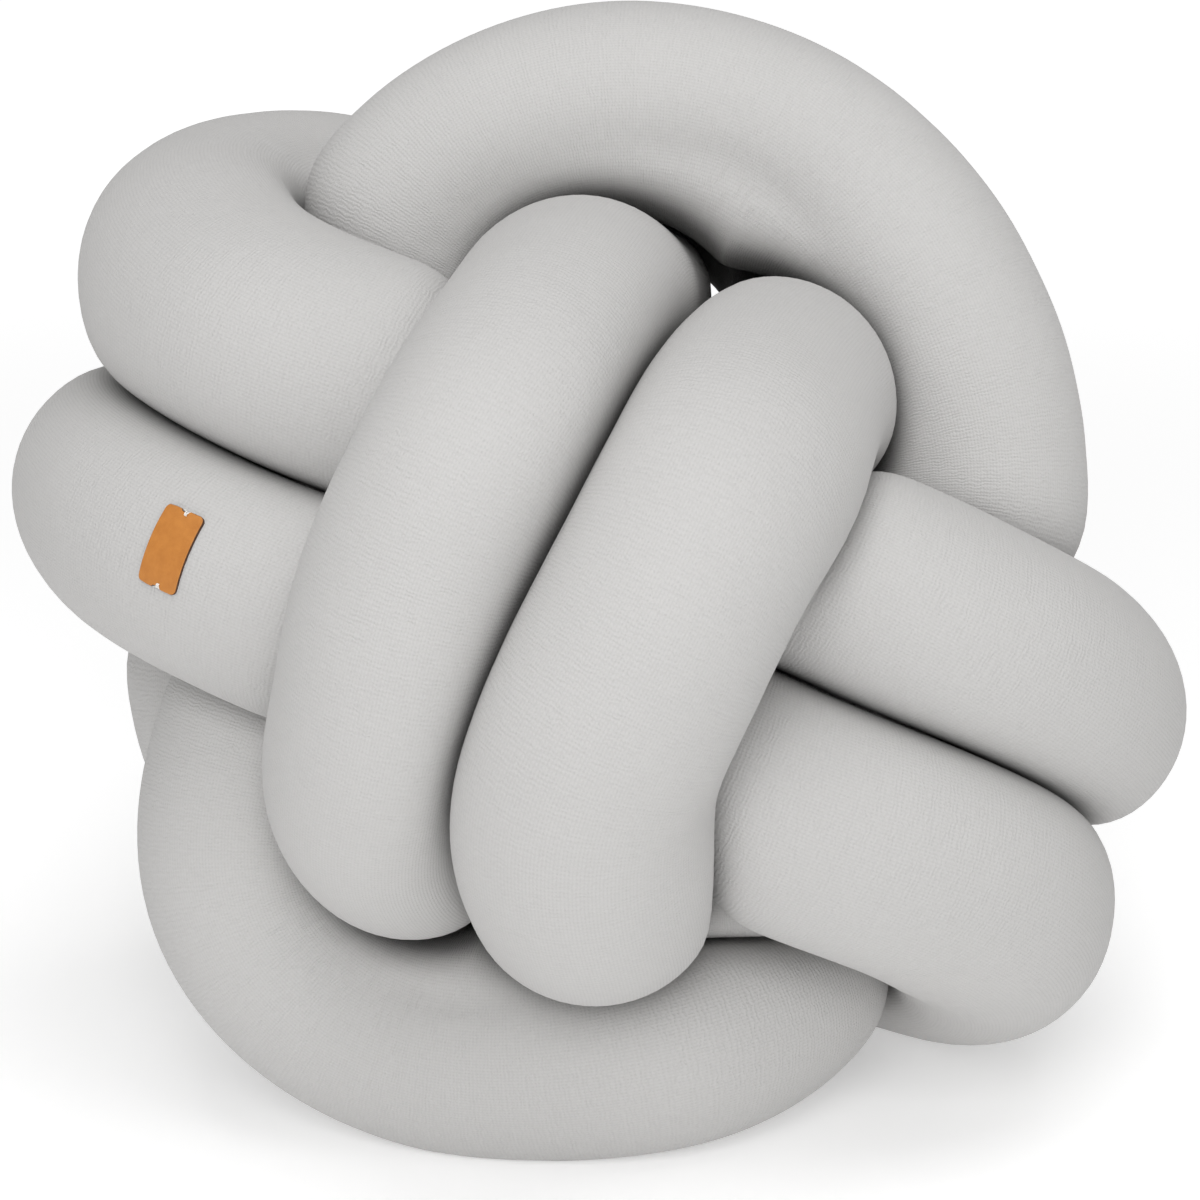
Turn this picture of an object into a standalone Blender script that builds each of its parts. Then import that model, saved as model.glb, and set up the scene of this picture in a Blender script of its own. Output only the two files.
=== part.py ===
"""Knot cushion: one stuffed jersey tube tied into a ball, with a small leather label.

World frame in metres: +Z up, floor at z = 0, the side with the label faces -Y.
The knot is laid out in its own frame, in tube diameters: x across the two front strands, y along
them, z out of the face. Two strands run side by side in each of three directions:
    face strands    round y-z, over the side strands
    side strands    round x-z, over the ring strands
    ring strands    round x-y, over the face strands
"""
import bmesh
import bpy
import numpy as np

# ---- driving dimensions ----
TUBE_DIAMETER = 0.068        # stuffed tube, metres
ROLL_DEG = -23.0             # how far the knot's x axis dips to the right
TURN_DEG = 5.0               # the knot's face looks this far to the left of -Y
LEAN_DEG = 15.0              # the face looks this far upwards
SINK = 0.075                 # flat spots: how far the tube is pressed in by the floor, in diameters

TUBE_SECTIONS = 280          # rings along the tube
TUBE_SIDES = 14              # corners of each ring
STRAND_GAP = 0.040           # clear space between strands that press together, in diameters
CONTACT_ROUNDING = 0.14      # cloth leaves a contact over about this width
CLOTH_EVENING = 2            # times the cloth is drawn level between neighbouring corners
NEAR_ALONG = 1.3             # strands closer than this along the tube are the same bend
CORE_FILL = 2.6              # how far the inner strands swell into the middle of the ball
OUTER_FILL = 0.7             # share of that swelling on the outer strands' hidden sides

LABEL_LENGTH = 0.0234        # round the tube
LABEL_WIDTH = 0.0093         # along the tube
LABEL_THICKNESS = 0.0012
LABEL_CORNER = 0.0017
LABEL_LIFT = 0.0003          # clear space between label and cloth
LABEL_SPOT = (-1.33, -0.52, 1.10)      # point of the tube's axis under the label
LABEL_FACING = (-0.52, -0.06, 0.85)    # way the label faces

# ---- the tube's closed route: place, x, y, z in diameters, fullness ----
ROUTE = [
    # first face strand, down the front and up the back
    ("face 1 top inside", -0.48, 1.15, -0.10, 1.00),
    ("face 1 top front", -0.46, 1.03, 0.85, 1.00),
    ("face 1 top bend", -0.42, 0.75, 1.62, 0.97),
    ("face 1 upper", -0.44, 0.30, 2.03, 0.97),
    ("face 1 middle", -0.46, -0.24, 2.06, 0.98),
    ("face 1 lower", -0.40, -0.76, 1.88, 0.94),
    ("face 1 low bend", -0.36, -1.13, 1.45, 0.93),
    ("face 1 bottom front", -0.25, -1.27, 0.85, 0.96),
    ("face 1 bottom inside", -0.40, -1.10, -0.10, 1.00),
    ("face 1 bottom back", -0.50, -0.95, -1.00, 1.00),
    ("back low", -0.42, -0.80, -1.70, 1.00),
    ("back middle", 0.00, 0.00, -2.10, 1.02),
    ("back high", 0.45, 0.82, -1.75, 1.00),
    # second face strand, down the front, then in under the side strands
    ("face 2 top back", 0.52, 1.12, -1.00, 1.00),
    ("face 2 top inside", 0.50, 1.18, 0.00, 1.00),
    ("face 2 top front", 0.48, 0.99, 1.00, 1.00),
    ("face 2 top bend", 0.45, 0.72, 1.66, 1.04),
    ("face 2 upper", 0.45, 0.32, 2.07, 1.05),
    ("face 2 middle", 0.42, -0.22, 2.15, 1.06),
    ("face 2 lower", 0.40, -0.74, 1.98, 1.03),
    ("face 2 low bend", 0.56, -1.11, 1.46, 1.02),
    ("face 2 turn", 0.64, -1.10, 0.60, 1.00),
    # front ring strand: right, top, left, bottom
    ("front ring under", 1.15, -0.74, 0.40, 1.00),
    ("front ring right", 1.36, 0.00, 0.52, 1.00),
    ("front ring right up", 1.47, 0.78, 0.50, 1.00),
    ("front ring top right", 1.12, 1.44, 0.50, 1.00),
    ("front ring top", -0.06, 2.09, 0.50, 1.00),
    ("front ring top left", -1.14, 1.62, 0.50, 1.00),
    ("front ring left up", -1.38, 0.90, 0.50, 1.00),
    ("front ring left", -1.18, 0.00, 0.50, 1.00),
    ("front ring left low", -1.04, -0.92, 0.52, 1.00),
    ("front ring bottom left", -0.82, -1.85, 0.50, 1.00),
    ("front ring bottom", 0.06, -2.16, 0.45, 1.00),
    ("front ring bottom right", 1.08, -1.66, 0.42, 1.08),
    # back ring strand: right, top, left, bottom
    ("back ring right low", 1.48, -1.00, -0.25, 1.00),
    ("back ring right", 1.35, 0.00, -0.40, 1.00),
    ("back ring right up", 1.38, 0.85, -0.50, 1.00),
    ("back ring top right", 1.00, 1.47, -0.50, 1.00),
    ("back ring top", 0.00, 2.05, -0.50, 1.00),
    ("back ring top left", -1.10, 1.58, -0.50, 1.00),
    ("back ring left up", -1.40, 0.85, -0.50, 1.00),
    ("back ring left", -1.35, 0.00, -0.48, 1.00),
    ("back ring left low", -1.53, -0.95, -0.48, 1.00),
    ("back ring bottom left", -1.02, -1.60, -0.60, 1.00),
    ("back ring bottom", -0.15, -1.85, -0.84, 1.00),
    ("back ring bottom right", 0.72, -1.44, -1.15, 1.00),
    # lower side strand, right to left across the front
    ("side 1 rise", 1.60, -1.05, -1.25, 1.00),
    ("side 1 right lobe", 2.22, -0.74, -0.10, 1.06),
    ("side 1 front right", 1.98, -0.52, 0.70, 1.12),
    ("side 1 right", 1.20, -0.55, 1.18, 1.02),
    ("side 1 middle", 0.00, -0.52, 1.22, 1.00),
    ("side 1 left", -1.25, -0.54, 1.18, 1.00),
    ("side 1 front left", -1.95, -0.48, 0.65, 1.06),
    ("side 1 left lobe", -2.15, -0.40, -0.05, 1.13),
    ("side 1 back left", -1.85, -0.45, -0.75, 1.00),
    ("side back left", -1.10, -0.30, -1.22, 1.00),
    ("side back", 0.00, 0.00, -1.24, 1.00),
    ("side back right", 1.10, 0.30, -1.22, 1.00),
    # upper side strand, right to left across the front, then up the back
    ("side 2 back right", 1.88, 0.42, -0.75, 1.00),
    ("side 2 right lobe", 2.17, 0.28, 0.00, 1.06),
    ("side 2 front right", 1.94, 0.34, 0.70, 1.06),
    ("side 2 right", 1.20, 0.40, 1.18, 0.96),
    ("side 2 middle", 0.00, 0.46, 1.22, 1.00),
    ("side 2 left", -1.25, 0.37, 1.18, 1.10),
    ("side 2 front left", -2.00, 0.49, 0.65, 1.13),
    ("side 2 left lobe", -2.24, 0.84, -0.10, 1.11),
    ("side 2 rise", -1.75, 1.14, -0.80, 1.00),
    ("side 2 over", -1.00, 1.24, -1.05, 1.00),
]
SPLINE_STEPS = 12            # points worked out between two places of the route
KNOT_SPACING_POWER = 0.75    # chord length to this power spaces the spline's knots

MATERIALS = {
    # slot: base colour, roughness
    "jersey": ((0.52, 0.515, 0.505, 1.0), 0.95),
    "label_leather": ((0.66, 0.26, 0.05, 1.0), 0.55),
}


def clear_scene():
    """Empty the scene."""
    for obj in list(bpy.data.objects):
        bpy.data.objects.remove(obj, do_unlink=True)


def unit(vectors):
    """Vectors scaled to length one, along the last axis."""
    return vectors / np.linalg.norm(vectors, axis=-1, keepdims=True)


def world_axes():
    """World x, y and z (right, backwards, up) as directions of the knot's frame, one per row."""
    roll, turn, lean = np.radians([ROLL_DEG, TURN_DEG, LEAN_DEG])
    face = np.array([np.sin(turn), 0.0, np.cos(turn)])
    across = unit(np.array([1.0, 0.0, 0.0]) - face * face[0])
    along = np.cross(face, across)
    right = np.cos(roll) * across - np.sin(roll) * along
    upright = np.sin(roll) * across + np.cos(roll) * along
    back = np.sin(lean) * upright - np.cos(lean) * face
    up = np.cos(lean) * upright + np.sin(lean) * face
    return np.stack([right, back, up])


def closed_spline(points):
    """A closed curve with smooth bends through the points."""
    count = len(points)
    span = np.linalg.norm(np.roll(points, -1, 0) - points, axis=1) ** KNOT_SPACING_POWER
    matrix = np.zeros((count, count))
    slopes = np.zeros((count, 3))
    for i in range(count):
        before, after = span[i - 1], span[i]
        j = (i + 1) % count
        matrix[i, i - 1] = before
        matrix[i, i] = 2.0 * (before + after)
        matrix[i, j] = after
        slopes[i] = 6.0 * ((points[j] - points[i]) / after - (points[i] - points[i - 1]) / before)
    bend = np.linalg.solve(matrix, slopes)
    t = np.linspace(0.0, 1.0, SPLINE_STEPS, endpoint=False)[:, None]
    pieces = []
    for i in range(count):
        j = (i + 1) % count
        straight = (1 - t) * points[i] + t * points[j]
        curved = ((1 - t) ** 3 - (1 - t)) * bend[i] + (t ** 3 - t) * bend[j]
        pieces.append(straight + curved * span[i] ** 2 / 6.0)
    return np.concatenate(pieces)


def tube_axis(sections):
    """Even points along the tube's axis, the radius at each, and the tube's length."""
    places = np.array([place[1:4] for place in ROUTE])
    fullness = np.array([place[4] for place in ROUTE] + [ROUTE[0][4]])
    dense = closed_spline(places)
    steps = np.linalg.norm(np.roll(dense, -1, 0) - dense, axis=1)
    along = np.concatenate([[0.0], np.cumsum(steps)])
    length = along[-1]
    wanted = np.arange(sections) * length / sections
    loop = np.vstack([dense, dense[:1]])
    axis = np.stack([np.interp(wanted, along, loop[:, k]) for k in range(3)], axis=1)
    radius = 0.5 * np.interp(wanted, along[::SPLINE_STEPS], fullness)
    return axis, radius, length


def ring_directions(axis, sides):
    """Tangents of a closed axis, and for each section the directions of its corners."""
    count = len(axis)
    tangent = unit(np.roll(axis, -1, 0) - np.roll(axis, 1, 0))
    side = np.zeros_like(axis)
    side[0] = unit(np.cross(tangent[0], (1.0, 0.0, 0.0)))
    for i in range(1, count):
        side[i] = unit(side[i - 1] - tangent[i] * np.dot(side[i - 1], tangent[i]))
    closing = unit(side[-1] - tangent[0] * np.dot(side[-1], tangent[0]))
    other = np.cross(tangent[0], side[0])
    twist = -np.arctan2(np.dot(closing, other), np.dot(closing, side[0]))
    turn = twist * np.arange(count)[:, None] / count + np.arange(sides) * 2 * np.pi / sides
    binormal = np.cross(tangent, side)
    directions = (np.cos(turn)[:, :, None] * side[:, None]
                  + np.sin(turn)[:, :, None] * binormal[:, None])
    return tangent, directions


def soft_minimum(a, b, width):
    """The smaller of two values, rounded where they meet and never more than either."""
    blend = np.maximum(width - np.abs(a - b), 0.0) / width
    return np.minimum(a, b) - blend * blend * width / 4.0


def contact_limits(axis, directions, radius, spacing):
    """How far each corner may stand off the axis before it meets another stretch of tube.

    The limit is the surface that stays STRAND_GAP further from the other strand's skin than
    from this one's. Inside one bend it is where the bend's own skin would fold.
    """
    count = len(axis)
    limits = np.full(directions.shape[:2], 9.0)
    order = np.arange(count)
    for i in range(count):
        offset = axis - axis[i]
        distance2 = (offset ** 2).sum(1)
        apart = np.abs(order - i)
        apart = np.minimum(apart, count - apart) * spacing
        use = (distance2 < 2.6 ** 2) & (apart > 0)
        same_bend = apart[use] < NEAR_ALONG
        lead = np.where(same_bend, 0.0, radius[use] - radius[i] + STRAND_GAP)
        facing = lead + directions[i] @ offset[use].T
        reach = (distance2[use] - lead ** 2) / (2.0 * np.maximum(facing, 1e-6))
        reach = np.where(facing > 1e-6, reach, 9.0)
        reach = np.where(same_bend, 0.97 * reach, reach)
        limits[i] = reach.min(axis=1)
    return limits


def core_swelling(axis, directions):
    """How much fuller the tube is on the side that fills the middle of the ball."""
    depth = np.linalg.norm(axis, axis=1)
    near_core = np.clip((1.85 - depth) / 0.40, 0.0, 1.0)
    near_core = near_core ** 2 * (3.0 - 2.0 * near_core)
    share = OUTER_FILL + (1.0 - OUTER_FILL) * near_core
    inward = -(directions * (axis / depth[:, None])[:, None]).sum(2)
    return 1.0 + CORE_FILL * share[:, None] * np.maximum(inward - 0.2, 0.0) ** 1.5


def even_out(radius, reach, base, spacing):
    """Radius with the filling pushed out of squeezed sections, smoothed along the tube."""
    sides = reach.shape[1]
    outline = np.minimum(reach, radius[:, None])
    area = 0.5 * np.sin(2 * np.pi / sides) * (outline * np.roll(outline, -1, 1)).sum(1)
    factor = np.clip(np.sqrt(0.93 * np.pi * base ** 2 / area), 0.97, 1.06)
    half = int(0.6 / spacing)
    weights = np.hanning(2 * half + 3)[1:-1]
    padded = np.concatenate([factor[-half:], factor, factor[:half]])
    factor = np.convolve(padded, weights / weights.sum(), "valid")
    return np.clip(radius * factor, 0.97 * base, 1.08 * base)


def drawn_level(reach):
    """Cloth drawn level between neighbouring corners, and never further out than it was."""
    for _ in range(CLOTH_EVENING):
        along = 0.5 * reach + 0.25 * (np.roll(reach, 1, 0) + np.roll(reach, -1, 0))
        level = 0.5 * along + 0.25 * (np.roll(along, 1, 1) + np.roll(along, -1, 1))
        reach = np.minimum(reach, level)
    return reach


def tied_tube(sections, sides):
    """The tied tube in the knot's frame and diameters: axis, radius, rings of corners, spacing."""
    axis, base, length = tube_axis(sections)
    _, directions = ring_directions(axis, sides)
    spacing = length / sections
    swelling = core_swelling(axis, directions)
    radius = base
    for _ in range(2):
        limits = contact_limits(axis, directions, radius, spacing)
        reach = soft_minimum(radius[:, None] * swelling, limits, CONTACT_ROUNDING)
        radius = even_out(radius, reach, base, spacing)
    limits = contact_limits(axis, directions, radius, spacing)
    reach = drawn_level(soft_minimum(radius[:, None] * swelling, limits, CONTACT_ROUNDING))
    return axis, radius, axis[:, None] + directions * reach[:, :, None], spacing


def resting_place(rings):
    """Middle of the ball's footprint on the floor that presses SINK into it, in diameters."""
    world = (rings @ world_axes().T).reshape(-1, 3)
    low, high = world.min(axis=0), world.max(axis=0)
    return np.array([(low[0] + high[0]) / 2, (low[1] + high[1]) / 2, low[2] + SINK])


def to_world(points, place):
    """Points of the knot's frame as world metres, resting on the floor with its flat spots."""
    world = (points @ world_axes().T - place) * TUBE_DIAMETER
    world[..., 2] = np.maximum(world[..., 2], 0.0)
    return world


def add_object(name, verts, faces, slot):
    """A named mesh object with its own material."""
    mesh = bpy.data.meshes.new(name)
    mesh.from_pydata([tuple(v) for v in verts], [], faces)
    bm = bmesh.new()
    bm.from_mesh(mesh)
    bmesh.ops.recalc_face_normals(bm, faces=bm.faces)
    bm.to_mesh(mesh)
    bm.free()
    colour, roughness = MATERIALS[slot]
    material = bpy.data.materials.new(slot)
    material.use_nodes = True
    shader = material.node_tree.nodes["Principled BSDF"]
    shader.inputs["Base Color"].default_value = colour
    shader.inputs["Roughness"].default_value = roughness
    mesh.materials.append(material)
    obj = bpy.data.objects.new(name, mesh)
    bpy.context.scene.collection.objects.link(obj)
    return obj


def ring_faces(rings, sides):
    """Triangles between neighbouring rings of a closed tube."""
    faces = []
    for i in range(rings):
        for j in range(sides):
            a = i * sides + j
            b = i * sides + (j + 1) % sides
            c = (i + 1) % rings * sides + (j + 1) % sides
            d = (i + 1) % rings * sides + j
            faces += [(a, b, c), (a, c, d)]
    return faces


def build_tube(rings, place):
    """The stuffed tube, tied and resting."""
    verts = to_world(rings, place).reshape(-1, 3)
    add_object("knotted_tube", verts, ring_faces(TUBE_SECTIONS, TUBE_SIDES), "jersey")


def label_halfwidth(v):
    """Half the label's width at a place v along its length, with rounded corners."""
    into = np.maximum(np.abs(v) - (LABEL_LENGTH / 2 - LABEL_CORNER), 0.0)
    return LABEL_WIDTH / 2 - LABEL_CORNER + np.sqrt(np.maximum(LABEL_CORNER ** 2 - into ** 2, 0.0))


def label_rows():
    """Places along the label's length, closer together at its rounded corners."""
    middle = LABEL_LENGTH / 2 - LABEL_CORNER
    corner = middle + LABEL_CORNER * np.sin(np.radians([22.5, 45.0, 67.5, 88.0]))
    straight = np.linspace(-middle, middle, 13)
    return np.concatenate([-corner[::-1], straight, corner])


def label_station(axis):
    """Where along the axis the label's middle lies, as a section number with a fraction."""
    nearest = int(np.argmin(np.linalg.norm(axis - LABEL_SPOT, axis=1)))
    step = (axis[nearest + 1] - axis[nearest - 1]) / 2
    return nearest + np.dot(LABEL_SPOT - axis[nearest], step) / np.dot(step, step)


def label_surface(along, around, height, axis, radius, spacing):
    """A point over the tube's skin, along and around the tube from the label's middle (metres)."""
    station = label_station(axis) + along / TUBE_DIAMETER / spacing
    low = int(np.floor(station))
    mix = station - low
    centre = (1 - mix) * axis[low] + mix * axis[low + 1]
    ahead = (1 - mix) * axis[low + 1] + mix * axis[low + 2]
    behind = (1 - mix) * axis[low - 1] + mix * axis[low]
    tangent = unit(ahead - behind)
    facing = np.array(LABEL_FACING)
    normal = unit(facing - tangent * np.dot(facing, tangent))
    size = (1 - mix) * radius[low] + mix * radius[low + 1]
    angle = around / TUBE_DIAMETER / size
    direction = np.cos(angle) * normal + np.sin(angle) * np.cross(tangent, normal)
    return centre + direction * (size + height / TUBE_DIAMETER)


def build_label(axis, radius, spacing, place):
    """The leather label, bent round the tube: a thin slab with rounded corners."""
    rows = label_rows()
    columns = np.linspace(-1.0, 1.0, 7)
    layers = []
    for height in (LABEL_LIFT, LABEL_LIFT + LABEL_THICKNESS):
        for v in rows:
            for u in columns:
                along = u * label_halfwidth(v)
                layers.append(label_surface(along, v, height, axis, radius, spacing))
    verts = to_world(np.array(layers), place)
    wide = len(columns)
    top = len(rows) * wide
    faces = []
    for i in range(len(rows) - 1):
        for j in range(wide - 1):
            a, b = i * wide + j, i * wide + j + 1
            c, d = b + wide, a + wide
            faces += [(a, d, c), (a, c, b), (top + a, top + b, top + c), (top + a, top + c, top + d)]
    rim = [j for j in range(wide)]
    rim += [i * wide + wide - 1 for i in range(1, len(rows))]
    rim += [(len(rows) - 1) * wide + j for j in range(wide - 2, -1, -1)]
    rim += [i * wide for i in range(len(rows) - 2, 0, -1)]
    for k, a in enumerate(rim):
        b = rim[(k + 1) % len(rim)]
        faces += [(a, b, top + b), (a, top + b, top + a)]
    add_object("leather_label", verts, faces, "label_leather")


def main():
    """Both pieces, resting on the floor."""
    clear_scene()
    axis, radius, rings, spacing = tied_tube(TUBE_SECTIONS, TUBE_SIDES)
    place = resting_place(rings)
    build_tube(rings, place)
    build_label(axis, radius, spacing, place)


main()
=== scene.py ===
"""Knot cushion, dressed: the stuffed jersey tube tied into a ball, its leather label and thread.

The tube is laid out as in the part's source, in the knot's own frame and in tube diameters:
x across the two front strands, y along them, z out of the face. It is then turned, scaled and
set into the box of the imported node. Metres, +Z up, floor at z = 0, camera on the -Y side.
"""

import bpy
import numpy as np
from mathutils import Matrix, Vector

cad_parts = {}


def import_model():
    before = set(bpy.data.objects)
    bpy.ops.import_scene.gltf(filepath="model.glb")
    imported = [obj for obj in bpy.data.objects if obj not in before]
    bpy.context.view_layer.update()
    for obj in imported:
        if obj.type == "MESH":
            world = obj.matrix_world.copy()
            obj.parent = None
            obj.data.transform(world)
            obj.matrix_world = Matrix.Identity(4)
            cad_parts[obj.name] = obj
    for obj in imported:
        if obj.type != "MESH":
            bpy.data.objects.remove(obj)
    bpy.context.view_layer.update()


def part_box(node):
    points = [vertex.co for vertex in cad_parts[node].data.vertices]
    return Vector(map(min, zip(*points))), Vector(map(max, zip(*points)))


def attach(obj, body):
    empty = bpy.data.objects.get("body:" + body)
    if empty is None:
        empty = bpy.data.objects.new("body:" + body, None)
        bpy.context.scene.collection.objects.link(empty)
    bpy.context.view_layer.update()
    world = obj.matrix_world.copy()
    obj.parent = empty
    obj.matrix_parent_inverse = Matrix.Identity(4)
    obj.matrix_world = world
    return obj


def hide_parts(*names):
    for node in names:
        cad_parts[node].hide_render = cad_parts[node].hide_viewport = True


# ---- sizes shared with the part's source ----
TUBE_DIAMETER = 0.068        # stuffed tube, metres
ROLL_DEG = -23.0             # how far the knot's x axis dips to the right
TURN_DEG = 5.0               # the knot's face looks this far to the left of -Y
LEAN_DEG = 15.0              # the face looks this far upwards
NEAR_ALONG = 1.3             # strands closer than this along the tube are the same bend
CORE_FILL = 2.6              # how far the inner strands swell into the middle of the ball
OUTER_FILL = 0.7             # share of that swelling on the outer strands' hidden sides
LABEL_LENGTH = 0.0234        # round the tube
LABEL_WIDTH = 0.0093         # along the tube
LABEL_THICKNESS = 0.0012
LABEL_CORNER = 0.0017
LABEL_LIFT = 0.0003          # clear space between label and cloth
LABEL_SPOT = (-1.33, -0.52, 1.10)      # point of the tube's axis under the label
LABEL_FACING = (-0.52, -0.06, 0.85)    # way the label faces

# ---- the tube's closed route: place, x, y, z in diameters, fullness ----
ROUTE = [
    # first face strand, down the front and up the back
    ("face 1 top inside", -0.48, 1.15, -0.10, 1.00),
    ("face 1 top front", -0.46, 1.03, 0.85, 1.00),
    ("face 1 top bend", -0.42, 0.75, 1.62, 0.97),
    ("face 1 upper", -0.44, 0.30, 2.03, 0.97),
    ("face 1 middle", -0.46, -0.24, 2.06, 0.98),
    ("face 1 lower", -0.40, -0.76, 1.88, 0.94),
    ("face 1 low bend", -0.36, -1.13, 1.45, 0.93),
    ("face 1 bottom front", -0.25, -1.27, 0.85, 0.96),
    ("face 1 bottom inside", -0.40, -1.10, -0.10, 1.00),
    ("face 1 bottom back", -0.50, -0.95, -1.00, 1.00),
    ("back low", -0.42, -0.80, -1.70, 1.00),
    ("back middle", 0.00, 0.00, -2.10, 1.02),
    ("back high", 0.45, 0.82, -1.75, 1.00),
    # second face strand, down the front, then in under the side strands
    ("face 2 top back", 0.52, 1.12, -1.00, 1.00),
    ("face 2 top inside", 0.50, 1.18, 0.00, 1.00),
    ("face 2 top front", 0.48, 0.99, 1.00, 1.00),
    ("face 2 top bend", 0.45, 0.72, 1.66, 1.04),
    ("face 2 upper", 0.45, 0.32, 2.07, 1.05),
    ("face 2 middle", 0.42, -0.22, 2.15, 1.06),
    ("face 2 lower", 0.40, -0.74, 1.98, 1.03),
    ("face 2 low bend", 0.56, -1.11, 1.46, 1.02),
    ("face 2 turn", 0.64, -1.10, 0.60, 1.00),
    # front ring strand: right, top, left, bottom
    ("front ring under", 1.15, -0.74, 0.40, 1.00),
    ("front ring right", 1.36, 0.00, 0.52, 1.00),
    ("front ring right up", 1.47, 0.78, 0.50, 1.00),
    ("front ring top right", 1.12, 1.44, 0.50, 1.00),
    ("front ring top", -0.06, 2.09, 0.50, 1.00),
    ("front ring top left", -1.14, 1.62, 0.50, 1.00),
    ("front ring left up", -1.38, 0.90, 0.50, 1.00),
    ("front ring left", -1.18, 0.00, 0.50, 1.00),
    ("front ring left low", -1.04, -0.92, 0.52, 1.00),
    ("front ring bottom left", -0.82, -1.85, 0.50, 1.00),
    ("front ring bottom", 0.06, -2.16, 0.45, 1.00),
    ("front ring bottom right", 1.08, -1.66, 0.42, 1.08),
    # back ring strand: right, top, left, bottom
    ("back ring right low", 1.48, -1.00, -0.25, 1.00),
    ("back ring right", 1.35, 0.00, -0.40, 1.00),
    ("back ring right up", 1.38, 0.85, -0.50, 1.00),
    ("back ring top right", 1.00, 1.47, -0.50, 1.00),
    ("back ring top", 0.00, 2.05, -0.50, 1.00),
    ("back ring top left", -1.10, 1.58, -0.50, 1.00),
    ("back ring left up", -1.40, 0.85, -0.50, 1.00),
    ("back ring left", -1.35, 0.00, -0.48, 1.00),
    ("back ring left low", -1.53, -0.95, -0.48, 1.00),
    ("back ring bottom left", -1.02, -1.60, -0.60, 1.00),
    ("back ring bottom", -0.15, -1.85, -0.84, 1.00),
    ("back ring bottom right", 0.72, -1.44, -1.15, 1.00),
    # lower side strand, right to left across the front
    ("side 1 rise", 1.60, -1.05, -1.25, 1.00),
    ("side 1 right lobe", 2.22, -0.74, -0.10, 1.06),
    ("side 1 front right", 1.98, -0.52, 0.70, 1.12),
    ("side 1 right", 1.20, -0.55, 1.18, 1.02),
    ("side 1 middle", 0.00, -0.52, 1.22, 1.00),
    ("side 1 left", -1.25, -0.54, 1.18, 1.00),
    ("side 1 front left", -1.95, -0.48, 0.65, 1.06),
    ("side 1 left lobe", -2.15, -0.40, -0.05, 1.13),
    ("side 1 back left", -1.85, -0.45, -0.75, 1.00),
    ("side back left", -1.10, -0.30, -1.22, 1.00),
    ("side back", 0.00, 0.00, -1.24, 1.00),
    ("side back right", 1.10, 0.30, -1.22, 1.00),
    # upper side strand, right to left across the front, then up the back
    ("side 2 back right", 1.88, 0.42, -0.75, 1.00),
    ("side 2 right lobe", 2.17, 0.28, 0.00, 1.06),
    ("side 2 front right", 1.94, 0.34, 0.70, 1.06),
    ("side 2 right", 1.20, 0.40, 1.18, 0.96),
    ("side 2 middle", 0.00, 0.46, 1.22, 1.00),
    ("side 2 left", -1.25, 0.37, 1.18, 1.10),
    ("side 2 front left", -2.00, 0.49, 0.65, 1.13),
    ("side 2 left lobe", -2.24, 0.84, -0.10, 1.11),
    ("side 2 rise", -1.75, 1.14, -0.80, 1.00),
    ("side 2 over", -1.00, 1.24, -1.05, 1.00),
]
SPLINE_STEPS = 60            # points worked out between two places of the route
KNOT_SPACING_POWER = 0.75    # chord length to this power spaces the spline's knots

# ---- how strands and filling give way, lengths in diameters ----
CONTACT_ROUNDING = 0.10      # cloth leaves a contact over about this width, less than the part's
UNLIMITED = 9.0              # limit of a corner that faces no other strand
STRAND_REACH = 2.6           # strands whose axes are farther apart than this never touch
OWN_LENGTH = 0.15            # nearer than this along the tube is the section itself
BEND_SHARE = 0.97            # inside a bend, cloth stops at this share of the way to the fold
CORE_EDGE = 1.85             # axes nearer the ball's middle than this swell into it
CORE_FADE = 0.40             # and come to the full swelling over this depth
INWARD_START = 0.2           # corners that face inwards less than this don't swell
INWARD_POWER = 1.5           # how steeply the swelling grows with facing inwards
SETTLING_ROUNDS = 2          # times the filling moves from squeezed sections to free ones
FILLED_SHARE = 0.93          # share of its round area that a section keeps
SECTION_RANGE = (0.97, 1.06)          # least and most that a section grows in one round
RADIUS_RANGE = (0.97, 1.08)           # and its radius in all, against the route's
FILLING_TRAVEL = 0.6         # filling moves this far along the tube
LUMP_ROOM = 0.1              # lumps fade away within this of the next strand

# ---- the dressed tube ----
COARSE = (280, 14, 0.030)    # sections, sides and strand gap while the filling settles
FINE = (1320, 64, 0.008)     # the same for the finished cloth
CLOTH_EVENING = 6            # times the cloth is drawn level between neighbouring corners
LUMP_HEIGHT = 0.0007         # unevenness of the filling, metres
CREASE_WIDTH = 0.020         # cloth closer to the next strand than this gets painted shade, in diameters
WALE = 0.00095               # width of one column of knit stitches, metres
COURSE = 0.00085             # height of one row of knit stitches
SEAM_CORNER = 0.30           # where the tube's lengthwise seam runs, as a share of the way round
SEAM_HALF = 0.0016           # half the seam's width

# ---- the jersey's surface: depth in metres and strength of each bump ----
SEAM_BUMP = (0.0005, 0.7)
SOFT_BUMP = (0.0009, 0.25)
KNIT_BUMP = (0.00012, 0.40)
RIPPLE_BUMP = (0.00016, 0.50)
NAP_BUMP = (0.00022, 0.45)
RIPPLE_WANDER = 2.2          # how far the ripples stray, in rows of stitches
RIPPLE_PITCH = 1.25          # rows of stitches from one ripple to the next

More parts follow.
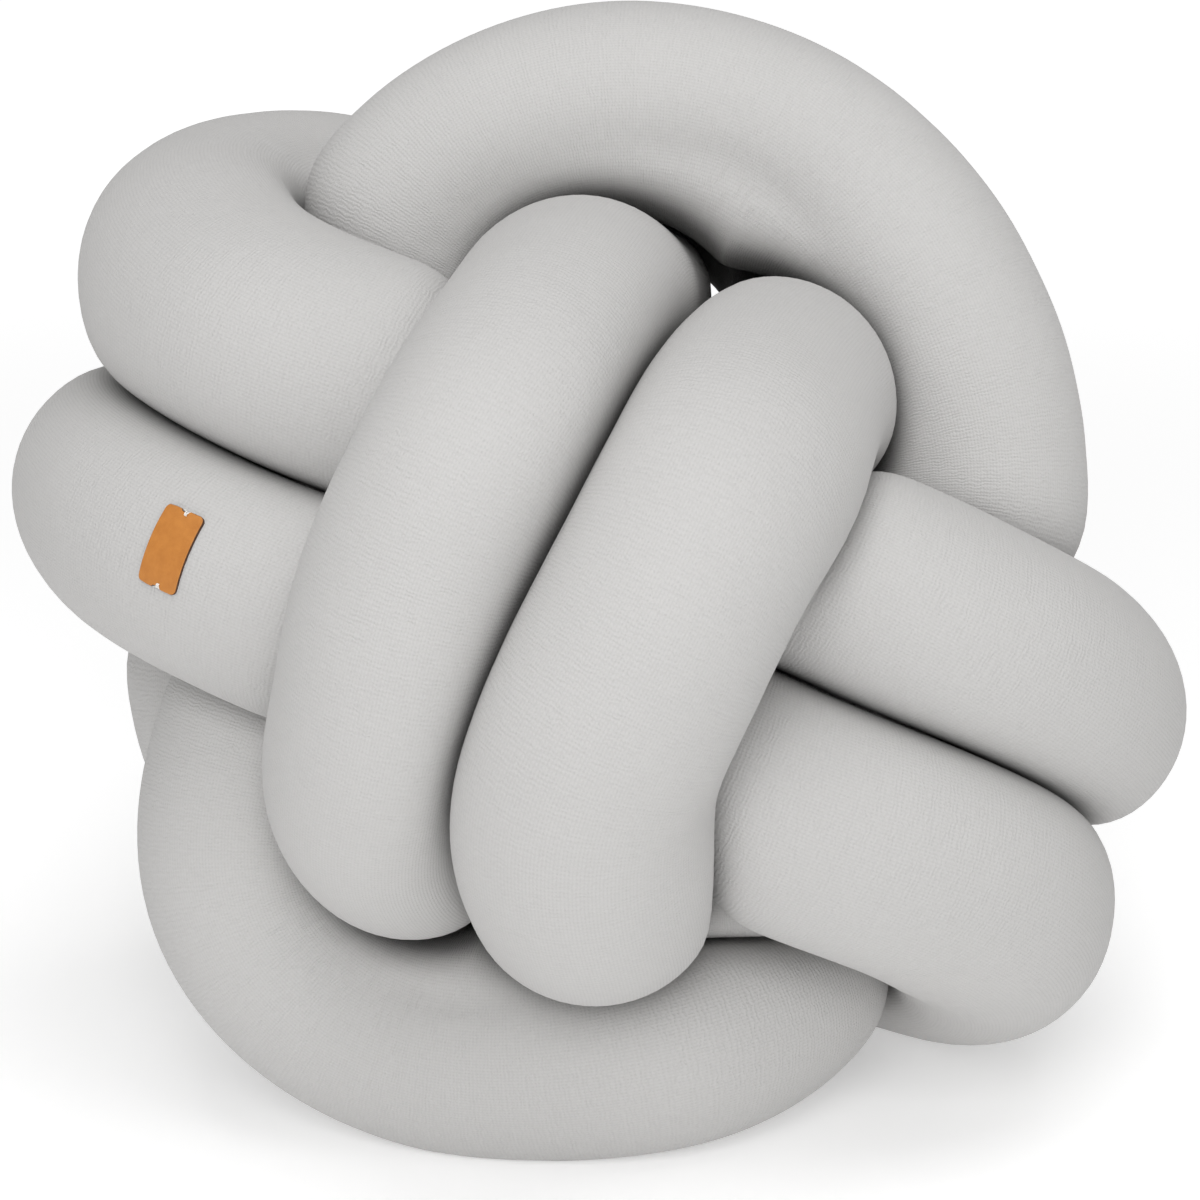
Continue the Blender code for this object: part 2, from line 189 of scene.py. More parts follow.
# ---- the label's edge, and the thread that holds it, metres ----
LABEL_EDGE = ((0.0, 0.0), (0.75, 0.0), (0.93, 0.00010), (1.0, 0.00032))   # height share, inset
CUT_BANDS = 2                # bands of that edge, from the cloth up, that show the burnt cut
CORNER_STEPS = (15, 30, 45, 60, 75, 88)   # degrees round each corner
LEAST_HALF = 0.0004          # the label is never narrower than twice this
LABEL_ROWS = 25              # rows of points between the corners
LABEL_COLUMNS = 33           # points across, closer towards the edges
NOTCH_COLUMNS = (0.14, 8)    # half the strip round the middle with more points, and how many
NOTCH_DEPTH = 0.0011         # how far the thread pulls in the middle of the short edges
NOTCH_HALF = 0.0009          # half the width of that notch at the edge
NOTCH_LENGTH = 0.004         # stretch of the label over which the pull grows
THREAD = 0.00045             # thickness of the thread
STITCH_OVER = 0.0002         # the stitch's height over the leather
STITCH_INSIDE = 0.0007       # it starts this far inside the edge
STITCH_LENGTH = 0.0019
STITCH_SUNK = (0.12, 0.0006)  # share of its length that is sunk in the leather, and how deep
STITCH_FALL = 0.0012         # past the edge, it comes down to the cloth over this length
STITCH_CLEAR = 0.0001        # and stays this far over the cloth
STITCH_SPREAD = (0.00018, 0.00028)   # half the turns' distance at the start, and its growth

# ---- colours, linear ----
JERSEY_GREY = (0.510, 0.503, 0.496, 1.0)
SHEEN_WHITE = (1.0, 0.99, 0.98, 1.0)
LEATHER_TAN = ((0.43, 0.155, 0.024, 1.0), (0.52, 0.205, 0.037, 1.0))
BURNT_BROWN = ((0.045, 0.018, 0.008, 1.0), (0.13, 0.05, 0.018, 1.0))
THREAD_WHITE = ((0.66, 0.64, 0.60, 1.0), (0.90, 0.89, 0.86, 1.0))
FLOOR_WHITE = (0.90, 0.90, 0.90, 1.0)
BLACK = (0.0, 0.0, 0.0, 1.0)
WHITE = (1.0, 1.0, 1.0, 1.0)

# ---- the studio ----
SKY_STRENGTH = 0.36          # even white light from all round
LIGHTS = [
    # name, place, size in metres, power in watts
    ("key", (-0.20, -2.20, 1.35), 1.2, 29.0),
    ("top", (0.20, -0.50, 2.20), 1.6, 22.0),
]
LIT_PLACE = (0.0, 0.0, 0.17)          # both lights face this place
FLOOR_HALF = 6.0             # half the floor's width
# the floor's glow grows from its To Min to its To Max between these distances from the middle
FLOOR_GLOW = {"From Min": 0.4, "From Max": 2.6, "To Min": 0.30, "To Max": 0.68}

# ---- the view ----
CAMERA_DIAMETERS = 15.0      # camera's distance from the knot's middle
CAMERA_LENS = 97.65          # millimetres, on a 36 mm sensor
CAMERA_DROP = 0.0053         # the camera's axis passes this far under the knot's middle


def unit(vectors):
    """Vectors scaled to length one, along the last axis."""
    return vectors / np.linalg.norm(vectors, axis=-1, keepdims=True)


def world_axes():
    """World x, y and z (right, backwards, up) as directions of the knot's frame, one per row."""
    roll, turn, lean = np.radians([ROLL_DEG, TURN_DEG, LEAN_DEG])
    face = np.array([np.sin(turn), 0.0, np.cos(turn)])
    across = unit(np.array([1.0, 0.0, 0.0]) - face * face[0])
    along = np.cross(face, across)
    right = np.cos(roll) * across - np.sin(roll) * along
    upright = np.sin(roll) * across + np.cos(roll) * along
    back = np.sin(lean) * upright - np.cos(lean) * face
    up = np.cos(lean) * upright + np.sin(lean) * face
    return np.stack([right, back, up])


def closed_spline(points):
    """A closed curve with smooth bends through the points."""
    count = len(points)
    span = np.linalg.norm(np.roll(points, -1, 0) - points, axis=1) ** KNOT_SPACING_POWER
    matrix = np.zeros((count, count))
    slopes = np.zeros((count, 3))
    for i in range(count):
        before, after = span[i - 1], span[i]
        j = (i + 1) % count
        matrix[i, i - 1] = before
        matrix[i, i] = 2.0 * (before + after)
        matrix[i, j] = after
        slopes[i] = 6.0 * ((points[j] - points[i]) / after - (points[i] - points[i - 1]) / before)
    bend = np.linalg.solve(matrix, slopes)
    t = np.linspace(0.0, 1.0, SPLINE_STEPS, endpoint=False)[:, None]
    pieces = []
    for i in range(count):
        j = (i + 1) % count
        straight = (1 - t) * points[i] + t * points[j]
        curved = ((1 - t) ** 3 - (1 - t)) * bend[i] + (t ** 3 - t) * bend[j]
        pieces.append(straight + curved * span[i] ** 2 / 6.0)
    return np.concatenate(pieces)


def tube_axis(sections):
    """Even points along the tube's axis, the radius at each, and the tube's length."""
    places = np.array([place[1:4] for place in ROUTE])
    fullness = np.array([place[4] for place in ROUTE] + [ROUTE[0][4]])
    dense = closed_spline(places)
    steps = np.linalg.norm(np.roll(dense, -1, 0) - dense, axis=1)
    along = np.concatenate([[0.0], np.cumsum(steps)])
    length = along[-1]
    wanted = np.arange(sections) * length / sections
    loop = np.vstack([dense, dense[:1]])
    axis = np.stack([np.interp(wanted, along, loop[:, k]) for k in range(3)], axis=1)
    radius = 0.5 * np.interp(wanted, along[::SPLINE_STEPS], fullness)
    return axis, radius, length


def ring_directions(axis, sides):
    """Tangents of a closed axis, and for each section the directions of its corners."""
    count = len(axis)
    tangent = unit(np.roll(axis, -1, 0) - np.roll(axis, 1, 0))
    side = np.zeros_like(axis)
    side[0] = unit(np.cross(tangent[0], (1.0, 0.0, 0.0)))
    for i in range(1, count):
        side[i] = unit(side[i - 1] - tangent[i] * np.dot(side[i - 1], tangent[i]))
    closing = unit(side[-1] - tangent[0] * np.dot(side[-1], tangent[0]))
    other = np.cross(tangent[0], side[0])
    twist = -np.arctan2(np.dot(closing, other), np.dot(closing, side[0]))
    turn = twist * np.arange(count)[:, None] / count + np.arange(sides) * 2 * np.pi / sides
    binormal = np.cross(tangent, side)
    directions = (np.cos(turn)[:, :, None] * side[:, None]
                  + np.sin(turn)[:, :, None] * binormal[:, None])
    return tangent, directions


def soft_minimum(a, b, width):
    """The smaller of two values, rounded where they meet and never more than either."""
    blend = np.maximum(width - np.abs(a - b), 0.0) / width
    return np.minimum(a, b) - blend * blend * width / 4.0


def contact_limits(axis, directions, radius, spacing, gap):
    """How far each corner may stand off the axis before it meets another stretch of tube."""
    count = len(axis)
    limits = np.full(directions.shape[:2], UNLIMITED)
    order = np.arange(count)
    for i in range(count):
        offset = axis - axis[i]
        distance2 = (offset ** 2).sum(1)
        apart = np.abs(order - i)
        apart = np.minimum(apart, count - apart) * spacing
        use = (distance2 < STRAND_REACH ** 2) & (apart > OWN_LENGTH)
        same_bend = apart[use] < NEAR_ALONG
        lead = np.where(same_bend, 0.0, radius[use] - radius[i] + gap)
        facing = lead + directions[i] @ offset[use].T
        reach = (distance2[use] - lead ** 2) / (2.0 * np.maximum(facing, 1e-6))
        reach = np.where(facing > 1e-6, reach, UNLIMITED)
        reach = np.where(same_bend, BEND_SHARE * reach, reach)
        limits[i] = reach.min(axis=1)
    return limits


def core_swelling(axis, directions):
    """How much fuller the tube is on the side that fills the middle of the ball."""
    depth = np.linalg.norm(axis, axis=1)
    near_core = np.clip((CORE_EDGE - depth) / CORE_FADE, 0.0, 1.0)
    near_core = near_core ** 2 * (3.0 - 2.0 * near_core)
    share = OUTER_FILL + (1.0 - OUTER_FILL) * near_core
    inward = -(directions * (axis / depth[:, None])[:, None]).sum(2)
    facing = np.maximum(inward - INWARD_START, 0.0) ** INWARD_POWER
    return 1.0 + CORE_FILL * share[:, None] * facing


def even_out(radius, reach, base, spacing):
    """Radius with the filling pushed out of squeezed sections, smoothed along the tube."""
    sides = reach.shape[1]
    outline = np.minimum(reach, radius[:, None])
    area = 0.5 * np.sin(2 * np.pi / sides) * (outline * np.roll(outline, -1, 1)).sum(1)
    factor = np.clip(np.sqrt(FILLED_SHARE * np.pi * base ** 2 / area), *SECTION_RANGE)
    half = int(FILLING_TRAVEL / spacing)
    weights = np.hanning(2 * half + 3)[1:-1]
    padded = np.concatenate([factor[-half:], factor, factor[:half]])
    factor = np.convolve(padded, weights / weights.sum(), "valid")
    least, most = RADIUS_RANGE
    return np.clip(radius * factor, least * base, most * base)


def drawn_level(reach):
    """Cloth drawn level between neighbouring corners, and never further out than it was."""
    for _ in range(CLOTH_EVENING):
        along = 0.5 * reach + 0.25 * (np.roll(reach, 1, 0) + np.roll(reach, -1, 0))
        level = 0.5 * along + 0.25 * (np.roll(along, 1, 1) + np.roll(along, -1, 1))
        reach = np.minimum(reach, level)
    return reach


def settled_radius():
    """Radius along the tube once the filling has settled, on the coarse sections."""
    sections, sides, gap = COARSE
    axis, base, length = tube_axis(sections)
    _, directions = ring_directions(axis, sides)
    spacing = length / sections
    swelling = core_swelling(axis, directions)
    radius = base
    for _ in range(SETTLING_ROUNDS):
        limits = contact_limits(axis, directions, radius, spacing, gap)
        reach = soft_minimum(radius[:, None] * swelling, limits, CONTACT_ROUNDING)
        radius = even_out(radius, reach, base, spacing)
    return radius


def tied_tube():
    """The tied tube in the knot's frame and diameters, and how near its cloth is to the next
    strand, as the weight of its painted shade.
    """
    sections, sides, gap = FINE
    axis, _, length = tube_axis(sections)
    _, directions = ring_directions(axis, sides)
    coarse = settled_radius()
    loop = np.append(coarse, coarse[0])
    radius = np.interp(np.arange(sections) * len(coarse) / sections, np.arange(len(loop)), loop)
    limits = contact_limits(axis, directions, radius, length / sections, gap)
    free = radius[:, None] * core_swelling(axis, directions)
    reach = drawn_level(soft_minimum(free, limits, CONTACT_ROUNDING))
    lumps = filling_lumps(axis[:, None] + directions * reach[:, :, None])
    room = np.clip((limits - reach) / LUMP_ROOM, 0.0, 1.0)
    reach = reach + lumps * room * LUMP_HEIGHT / TUBE_DIAMETER
    # painted shade: the cloth's colour is darkened where it comes close to the next strand
    crease_shade = np.exp(-np.maximum(limits - reach, 0.0) / CREASE_WIDTH)
    return axis, radius, axis[:, None] + directions * reach[:, :, None], crease_shade, length


def filling_lumps(points):
    """Soft unevenness of the filling, from -1 to 1, at points of the knot's frame."""
    waves = [
        # direction and length of each wave, its start
        ((2.1, 1.3, -0.7), 0.4),
        ((-1.2, 2.4, 1.1), 1.9),
        ((0.8, -1.6, 2.6), 3.1),
        ((3.9, 2.2, 1.7), 5.0),
        ((-2.4, 3.6, -3.1), 0.9),
        ((1.9, -4.3, 3.4), 2.6),
    ]
    total = np.zeros(points.shape[:-1])
    for direction, start in waves:
        total += np.sin(points @ np.array(direction) + start)
    return total / 3.0


def resting_shift(rings):
    """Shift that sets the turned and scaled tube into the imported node's box."""
    world = (rings @ world_axes().T).reshape(-1, 3) * TUBE_DIAMETER
    low, high = world.min(axis=0), world.max(axis=0)
    box_low, box_high = (np.array(corner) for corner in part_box("knotted_tube"))
    middle = (box_low + box_high) / 2 - (low + high) / 2
    return np.array([middle[0], middle[1], box_high[2] - high[2]])


def to_world(points, shift):
    """Points of the knot's frame as world metres, resting on the floor with its flat spots."""
    world = points @ world_axes().T * TUBE_DIAMETER + shift
    world[..., 2] = np.maximum(world[..., 2], 0.0)
    return world


def mesh_object(name, verts, faces, materials, smooth=True):
    """A named mesh object with its materials."""
    mesh = bpy.data.meshes.new(name)
    mesh.from_pydata(verts.tolist(), [], faces)
    for material in materials:
        mesh.materials.append(material)
    mesh.polygons.foreach_set("use_smooth", [smooth] * len(mesh.polygons))
    obj = bpy.data.objects.new(name, mesh)
    bpy.context.scene.collection.objects.link(obj)
    return obj


def grid_faces(rings, sides):
    """Four-sided faces between neighbouring rings of a closed tube."""
    i = np.arange(rings)[:, None]
    j = np.arange(sides)[None]
    here, ahead = i * sides, (i + 1) % rings * sides
    right = (j + 1) % sides
    quads = np.stack([here + j, here + right, ahead + right, ahead + j], axis=-1)
    return quads.reshape(-1, 4)


def add_uv(obj, rings, sides, turns_along, turns_round):
    """Texture coordinates in whole stitches: courses along the tube, wales round it."""
    i = np.repeat(np.arange(rings), sides)
    j = np.tile(np.arange(sides), rings)
    u = np.stack([i, i, i + 1, i + 1], axis=1) * turns_along / rings
    v = np.stack([j, j + 1, j + 1, j], axis=1) * turns_round / sides
    layer = obj.data.uv_layers.new(name="stitches")
    layer.data.foreach_set("uv", np.stack([u, v], axis=-1).reshape(-1).astype(np.float32))


# ---- materials ----

class Nodes:
    """Short hand for building one material's nodes."""

    def __init__(self, name):
        self.material = bpy.data.materials.new(name)
        self.material.use_nodes = True
        self.tree = self.material.node_tree
        self.shader = self.tree.nodes["Principled BSDF"]

    def link(self, source, target):
        """Join a node's output to an input."""
        self.tree.links.new(source, target)

    def new(self, kind, **settings):
        """A new node with some of its settings."""
        node = self.tree.nodes.new(kind)
        for key, value in settings.items():
            setattr(node, key, value)
        return node

    def math(self, operation, first, second=None, third=None):
        """A maths node on sockets or numbers; returns its output."""
        node = self.new("ShaderNodeMath", operation=operation)
        for socket, value in zip(node.inputs, (first, second, third)):
            if value is None:
                continue
            if isinstance(value, (int, float)):
                socket.default_value = value
            else:
                self.link(value, socket)
        return node.outputs[0]

    def noise(self, scale, detail=3.0, roughness=0.5):
        """Noise over the object, in lumps per metre; returns its value output."""
        place = self.new("ShaderNodeTexCoord")
        node = self.new("ShaderNodeTexNoise")
        node.inputs["Scale"].default_value = scale
        node.inputs["Detail"].default_value = detail
        node.inputs["Roughness"].default_value = roughness
        self.link(place.outputs["Object"], node.inputs["Vector"])
        return node.outputs["Fac"]

    def ramp(self, value, stops):
        """A colour ramp of (position, colour) stops; returns its colour output."""
        node = self.new("ShaderNodeValToRGB")
        elements = node.color_ramp.elements
        while len(elements) < len(stops):
            elements.new(1.0)
        for element, (position, colour) in zip(elements, stops):
            element.position = position
            element.color = colour
        self.link(value, node.inputs["Fac"])
        return node.outputs["Color"]

    def bump(self, height, distance, strength, normal=None):
        """A bump node; returns its normal output."""
        node = self.new("ShaderNodeBump")
        node.inputs["Distance"].default_value = distance
        node.inputs["Strength"].default_value = strength
        self.link(height, node.inputs["Height"])
        if normal is not None:
            self.link(normal, node.inputs["Normal"])
        return node.outputs["Normal"]


def jersey_material(seam_wale, wales):
    """Brushed cotton jersey: fine knit columns of V stitches, soft nap, one lengthwise seam."""
    m = Nodes("jersey_knit")
    uv = m.new("ShaderNodeUVMap", uv_map="stitches")
    split = m.new("ShaderNodeSeparateXYZ")
    m.link(uv.outputs["UV"], split.inputs[0])
    course, wale = split.outputs["X"], split.outputs["Y"]
    # each wale is a ridge of two slanting legs
    column = m.math("FRACT", wale)
    leg = m.math("ABSOLUTE", m.math("SUBTRACT", column, 0.5))
    ridge = m.math("SINE", m.math("MULTIPLY", column, np.pi))
    slant = m.math("ADD", course, m.math("MULTIPLY", leg, 1.1))
    stitch = m.math("SINE", m.math("MULTIPLY", slant, 2 * np.pi))
    knit = m.math("MULTIPLY_ADD", stitch, 0.28, ridge)
    # the seam is a narrow furrow between two low ridges
    off_seam = m.math("ABSOLUTE", m.math("SUBTRACT", wale, seam_wale))
    off_seam = m.math("MINIMUM", off_seam, m.math("SUBTRACT", float(wales), off_seam))
    furrow = m.math("DIVIDE", off_seam, SEAM_HALF / WALE)
    furrow = m.math("MINIMUM", furrow, 1.0)
    nap = m.noise(1900.0, 2.0, 0.6)
    soft = m.noise(160.0, 3.0, 0.5)
    # brushing leaves the rows of stitches as broken ripples across the strand
    wander = m.math("MULTIPLY_ADD", m.noise(420.0, 2.0, 0.5), RIPPLE_WANDER, course)
    ripple = m.math("SINE", m.math("MULTIPLY", wander, 2 * np.pi / RIPPLE_PITCH))
    ripple = m.math("MULTIPLY", ripple, m.noise(240.0, 2.0, 0.6))
    normal = m.bump(furrow, *SEAM_BUMP)
    normal = m.bump(soft, *SOFT_BUMP, normal)
    normal = m.bump(knit, *KNIT_BUMP, normal)
    normal = m.bump(ripple, *RIPPLE_BUMP, normal)
    normal = m.bump(nap, *NAP_BUMP, normal)
    m.link(normal, m.shader.inputs["Normal"])
    # colour: a touch darker between the wales and in the seam, painted shade deep in a crease,
    # slightly cloudy
    cloud = m.noise(28.0, 3.0, 0.55)
    # painted shade: the colour darkens where the cloth nears the next strand
    crease_shade = m.new("ShaderNodeAttribute", attribute_name="crease_shade").outputs["Fac"]
    shade = m.math("MULTIPLY_ADD", ridge, 0.05, 0.93)
    shade = m.math("MULTIPLY_ADD", stitch, 0.012, shade)
    shade = m.math("MULTIPLY_ADD", ripple, 0.032, shade)
    tones = [
        # what shades the cloth, how much, and the level where there is none of it
        (furrow, 0.08, 0.92),
        (cloud, 0.05, 0.975),
        (nap, 0.13, 0.935),
        (crease_shade, -0.60, 1.0),
    ]
    for value, amount, level in tones:
        shade = m.math("MULTIPLY", shade, m.math("MULTIPLY_ADD", value, amount, level))
    colour = m.ramp(shade, [(0.0, BLACK), (1.0, JERSEY_GREY)])
    m.link(colour, m.shader.inputs["Base Color"])
    m.shader.inputs["Roughness"].default_value = 0.95
    m.shader.inputs["Specular IOR Level"].default_value = 0.15
    m.shader.inputs["Sheen Weight"].default_value = 0.10
    m.shader.inputs["Sheen Roughness"].default_value = 0.45
    m.shader.inputs["Sheen Tint"].default_value = SHEEN_WHITE
    return m.material


def leather_material():
    """Tan vegetable-tanned leather: fine grain, slightly mottled, a soft sheen."""
    m = Nodes("leather_face")
    mottle = m.noise(260.0, 4.0, 0.6)
    colour = m.ramp(mottle, [(0.30, LEATHER_TAN[0]), (0.72, LEATHER_TAN[1])])
    m.link(colour, m.shader.inputs["Base Color"])
    grain = m.noise(2200.0, 5.0, 0.62)
    pores = m.noise(5200.0, 1.0, 0.4)
    normal = m.bump(grain, 0.00025, 0.45)
    normal = m.bump(pores, 0.0001, 0.3, normal)
    m.link(normal, m.shader.inputs["Normal"])
    rough = m.math("MULTIPLY_ADD", grain, 0.22, 0.42)
    m.link(rough, m.shader.inputs["Roughness"])
    m.shader.inputs["Specular IOR Level"].default_value = 0.4
    return m.material


def cut_edge_material():
    """The label's cut edge: dark brown, burnt and rough."""
    m = Nodes("leather_cut_edge")
    fibre = m.noise(1800.0, 4.0, 0.7)
    colour = m.ramp(fibre, [(0.3, BURNT_BROWN[0]), (0.75, BURNT_BROWN[1])])
    m.link(colour, m.shader.inputs["Base Color"])
    m.link(m.bump(fibre, 0.0002, 0.6), m.shader.inputs["Normal"])
    m.shader.inputs["Roughness"].default_value = 0.8
    return m.material


def thread_material():
    """White sewing thread with a fine twist."""
    m = Nodes("white_thread")
    twist = m.noise(4200.0, 2.0, 0.5)
    colour = m.ramp(twist, [(0.25, THREAD_WHITE[0]), (0.7, THREAD_WHITE[1])])
    m.link(colour, m.shader.inputs["Base Color"])
    m.link(m.bump(twist, 0.0001, 0.6), m.shader.inputs["Normal"])
    m.shader.inputs["Roughness"].default_value = 0.8
    m.shader.inputs["Sheen Weight"].default_value = 0.2
    return m.material


def floor_material():
    """Plain white studio floor, glowing faintly so that it stays white away from the light."""
    m = Nodes("studio_floor")
    m.shader.inputs["Base Color"].default_value = FLOOR_WHITE
    m.shader.inputs["Roughness"].default_value = 0.9
    m.shader.inputs["Specular IOR Level"].default_value = 0.1
    place = m.new("ShaderNodeTexCoord")
    away = m.new("ShaderNodeVectorMath", operation="LENGTH")
    m.link(place.outputs["Object"], away.inputs[0])
    spread = m.new("ShaderNodeMapRange", interpolation_type="SMOOTHSTEP")
    for name, value in FLOOR_GLOW.items():
        spread.inputs[name].default_value = value
    m.link(away.outputs["Value"], spread.inputs["Value"])
    m.link(spread.outputs["Result"], m.shader.inputs["Emission Strength"])
    m.shader.inputs["Emission Color"].default_value = WHITE
    return m.material


# ---- pieces ----

def build_tube():
    """The stuffed jersey tube. Returns what the label needs to lie on it."""
    sections, sides, _ = FINE
    axis, radius, rings, crease_shade, length = tied_tube()
    shift = resting_shift(rings)
    wales = round(np.pi * TUBE_DIAMETER / WALE)
    courses = round(length * TUBE_DIAMETER / COURSE)
    seam_wale = round(SEAM_CORNER * wales)
    verts = to_world(rings, shift).reshape(-1, 3)
    tube = mesh_object("jersey_tube", verts, grid_faces(sections, sides).tolist(),
                       [jersey_material(seam_wale, wales)])
    add_uv(tube, sections, sides, courses, wales)
    # painted shade: how far the cloth's colour darkens near the next strand
    shaded = tube.data.attributes.new("crease_shade", "FLOAT", "POINT")
    shaded.data.foreach_set("value", crease_shade.reshape(-1).astype(np.float32))
    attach(tube, "root")
    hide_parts("knotted_tube")
    return axis, radius, length / sections, shift


class LabelPlace:
    """Where the label lies: turns label metres into world points over the tube's skin."""

    def __init__(self, axis, radius, spacing, shift):
        self.axis, self.radius, self.spacing, self.shift = axis, radius, spacing, shift
        nearest = int(np.argmin(np.linalg.norm(axis - LABEL_SPOT, axis=1)))
        step = (axis[nearest + 1] - axis[nearest - 1]) / 2
        self.start = nearest + np.dot(LABEL_SPOT - axis[nearest], step) / np.dot(step, step)

    def point(self, along, around, height):
        """World point: along and around the tube from the label's middle, and over the skin."""
        station = self.start + along / TUBE_DIAMETER / self.spacing
        low = int(np.floor(station))
        mix = station - low
        centre = (1 - mix) * self.axis[low] + mix * self.axis[low + 1]
        tangent = unit(self.axis[low + 2] - self.axis[low - 1])
        facing = np.array(LABEL_FACING)
        normal = unit(facing - tangent * np.dot(facing, tangent))
        size = (1 - mix) * self.radius[low] + mix * self.radius[low + 1]
        angle = around / TUBE_DIAMETER / size
        direction = np.cos(angle) * normal + np.sin(angle) * np.cross(tangent, normal)
        return to_world(centre + direction * (size + height / TUBE_DIAMETER), self.shift)


def label_outline():
    """Places of the rows along the label, and half its width at each, with rounded corners."""
    middle = LABEL_LENGTH / 2 - LABEL_CORNER
    corner = middle + LABEL_CORNER * np.sin(np.radians(CORNER_STEPS))
    rows = np.concatenate([-corner[::-1], np.linspace(-middle, middle, LABEL_ROWS), corner])
    into = np.maximum(np.abs(rows) - middle, 0.0)
    inset = np.sqrt(np.maximum(LABEL_CORNER ** 2 - into ** 2, 0.0))
    return rows, LABEL_WIDTH / 2 - LABEL_CORNER + inset


def pulled_in(across, along):
    """How far the thread pulls the label's short edges in at their middle, in metres."""
    near_middle = np.maximum(1.0 - abs(across) / NOTCH_HALF, 0.0)
    past = abs(along) - (LABEL_LENGTH / 2 - NOTCH_LENGTH)
    near_end = np.clip(past / NOTCH_LENGTH, 0.0, 1.0)
    return NOTCH_DEPTH * near_middle * near_end


def build_label(place):
    """The leather label: a thin slab bent round the tube, with rounded corners and cut edges."""
    rows, halves = label_outline()
    strip, extra = NOTCH_COLUMNS
    columns = np.sin(np.linspace(-0.5, 0.5, LABEL_COLUMNS) * np.pi)
    columns = np.sort(np.concatenate([columns, np.linspace(-strip, strip, extra)]))
    verts = []
    for share, inset in LABEL_EDGE:
        height = LABEL_LIFT + share * LABEL_THICKNESS
        for row, half in zip(rows, halves):
            for column in columns:
                across = column * max(half - inset, LEAST_HALF)
                along = row * (1.0 - 2.0 * inset / LABEL_LENGTH)
                along -= np.sign(along) * pulled_in(across, along)
                verts.append(place.point(across, along, height))
    wide, size = len(columns), len(rows) * len(columns)
    rim = list(range(wide))
    rim += [i * wide + wide - 1 for i in range(1, len(rows))]
    rim += [(len(rows) - 1) * wide + j for j in range(wide - 2, -1, -1)]
    rim += [i * wide for i in range(len(rows) - 2, 0, -1)]
    faces, slots = [], []
    bands = len(LABEL_EDGE) - 1
    top = size * bands
    for i in range(len(rows) - 1):
        for j in range(wide - 1):
            a, d = i * wide + j, (i + 1) * wide + j
            b, c = a + 1, d + 1
            faces += [(a, d, c, b), (top + a, top + b, top + c, top + d)]
            slots += [1, 0]
    for band in range(bands):
        low, high = band * size, (band + 1) * size
        for k, a in enumerate(rim):
            b = rim[(k + 1) % len(rim)]
            faces.append((low + a, low + b, high + b, high + a))
            slots.append(1 if band < CUT_BANDS else 0)
    label = mesh_object("leather_label_face", np.array(verts), faces,
                        [leather_material(), cut_edge_material()])
    label.data.polygons.foreach_set("material_index", slots)
    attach(label, "root")
    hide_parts("leather_label")


def thread_tube(name, points, thickness, material):
    """A short length of thread through the points, as a round mesh tube with closed ends."""
    curve = bpy.data.curves.new(name, "CURVE")
    curve.dimensions = "3D"
    curve.bevel_depth = thickness / 2
    curve.bevel_resolution = 3
    curve.use_fill_caps = True
    spline = curve.splines.new("POLY")
    spline.points.add(len(points) - 1)
    for spot, point in zip(spline.points, points):
        spot.co = (*point, 1.0)
    holder = bpy.data.objects.new(name + "_curve", curve)
    bpy.context.scene.collection.objects.link(holder)
    depsgraph = bpy.context.evaluated_depsgraph_get()
    mesh = bpy.data.meshes.new_from_object(holder.evaluated_get(depsgraph))
    bpy.data.objects.remove(holder, do_unlink=True)
    mesh.materials.clear()
    mesh.materials.append(material)
    mesh.polygons.foreach_set("use_smooth", [True] * len(mesh.polygons))
    thread = bpy.data.objects.new(name, mesh)
    bpy.context.scene.collection.objects.link(thread)
    return thread


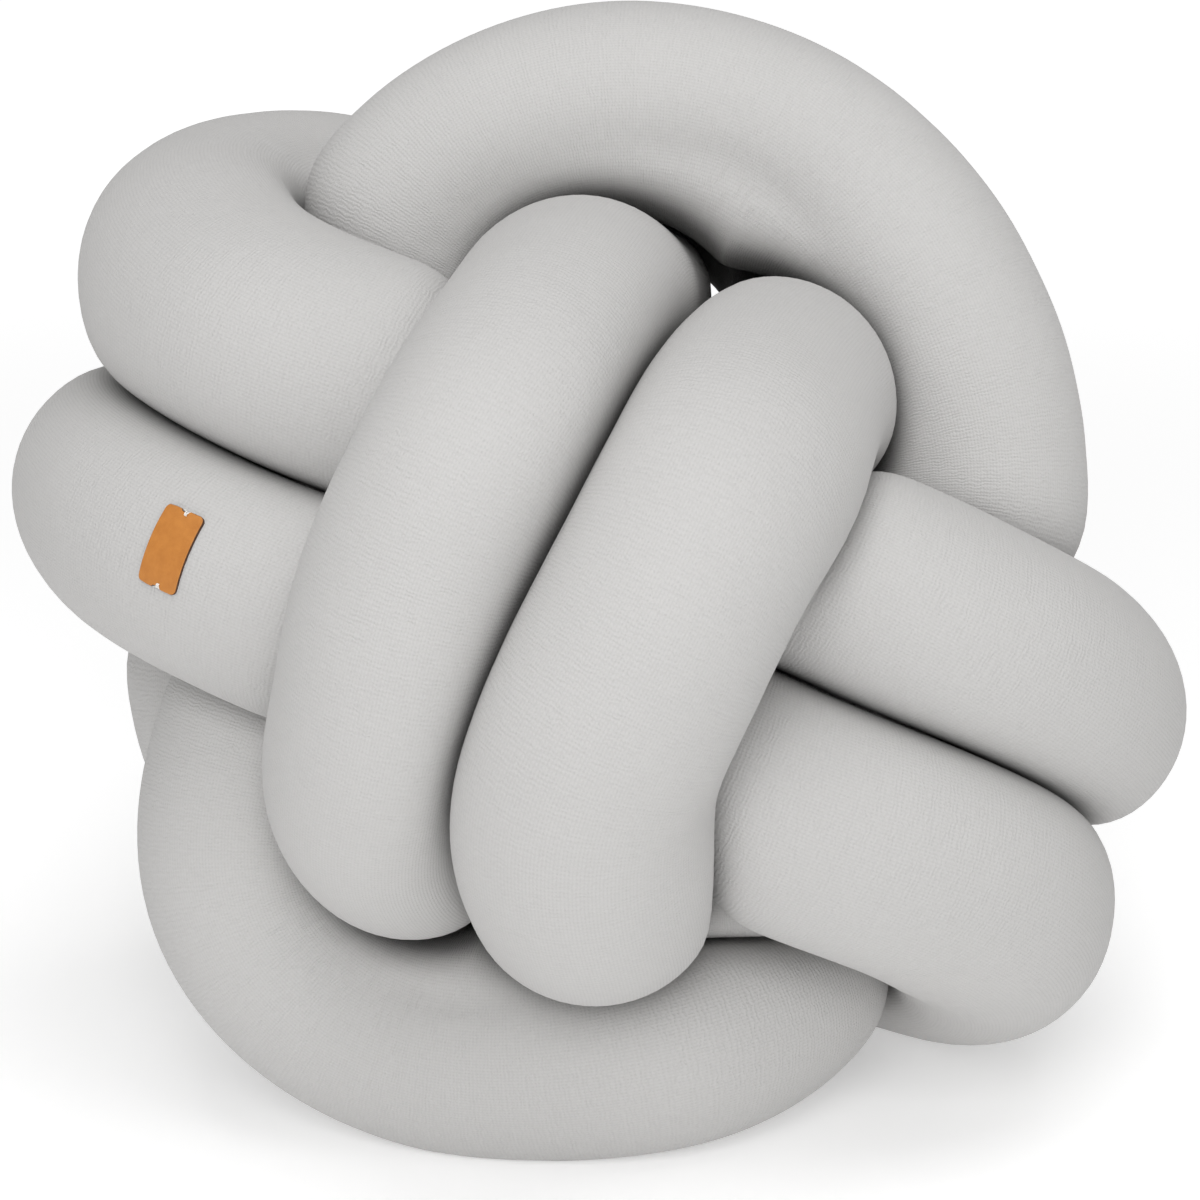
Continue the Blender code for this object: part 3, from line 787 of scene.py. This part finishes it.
def build_stitches(place):
    """The white thread that holds the label: two short turns in the notch of each short edge."""
    material = thread_material()
    high = LABEL_LIFT + LABEL_THICKNESS + STITCH_OVER
    edge = LABEL_LENGTH / 2 - NOTCH_DEPTH
    apart, growth = STITCH_SPREAD
    sunk, depth = STITCH_SUNK
    for end, sign in (("upper", 1.0), ("lower", -1.0)):
        for turn, spread in enumerate((-1.0, 1.0)):
            t = np.linspace(0.0, 1.0, 13)
            along = edge - STITCH_INSIDE + STITCH_LENGTH * t
            across = spread * (apart + growth * t)
            fall = np.clip((along - edge) / STITCH_FALL, 0.0, 1.0)
            over = high * (1.0 - fall * fall) + STITCH_CLEAR
            rise = np.where(t < sunk, high - depth, over)
            points = [place.point(c, sign * a, h) for c, a, h in zip(across, along, rise)]
            thread = thread_tube(f"label_stitch_{end}_{turn + 1}", points, THREAD, material)
            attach(thread, "root")


def build_floor():
    """A wide plain floor."""
    corners = ((-1, -1, 0), (1, -1, 0), (1, 1, 0), (-1, 1, 0))
    verts = np.array(corners) * FLOOR_HALF
    floor = mesh_object("floor", verts, [(0, 1, 2, 3)], [floor_material()], smooth=False)


def add_light(name, place, size, power):
    """A square soft light that faces the cushion."""
    light = bpy.data.lights.new(name, "AREA")
    light.shape = "SQUARE"
    light.size = size
    light.energy = power
    obj = bpy.data.objects.new(name, light)
    obj.location = place
    towards = Vector(LIT_PLACE) - Vector(place)
    obj.rotation_euler = towards.to_track_quat("-Z", "Y").to_euler()
    bpy.context.scene.collection.objects.link(obj)


def build_lights():
    """White surroundings, a soft light from the front above the camera, and one from the top."""
    world = bpy.data.worlds.new("studio")
    world.use_nodes = True
    background = world.node_tree.nodes["Background"]
    background.inputs["Color"].default_value = WHITE
    background.inputs["Strength"].default_value = SKY_STRENGTH
    bpy.context.scene.world = world
    for light in LIGHTS:
        add_light(*light)


def build_camera(shift):
    """The photograph's view: square on to the leaning face, from a little way off."""
    camera_data = bpy.data.cameras.new("camera")
    camera_data.lens = CAMERA_LENS
    camera_data.sensor_width = 36.0
    camera = bpy.data.objects.new("camera", camera_data)
    lean = np.radians(LEAN_DEG)
    towards = np.array([0.0, -np.cos(lean), np.sin(lean)])
    upright = np.array([0.0, np.sin(lean), np.cos(lean)])
    distance = CAMERA_DIAMETERS * TUBE_DIAMETER
    camera.location = shift + towards * distance - upright * CAMERA_DROP
    camera.rotation_euler = (np.pi / 2 - lean, 0.0, 0.0)
    bpy.context.scene.collection.objects.link(camera)
    bpy.context.scene.camera = camera


def main():
    """The whole scene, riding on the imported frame."""
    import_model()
    bpy.context.scene.view_settings.view_transform = "Standard"
    axis, radius, spacing, shift = build_tube()
    place = LabelPlace(axis, radius, spacing, shift)
    build_label(place)
    build_stitches(place)
    build_floor()
    build_lights()
    build_camera(shift)


main()
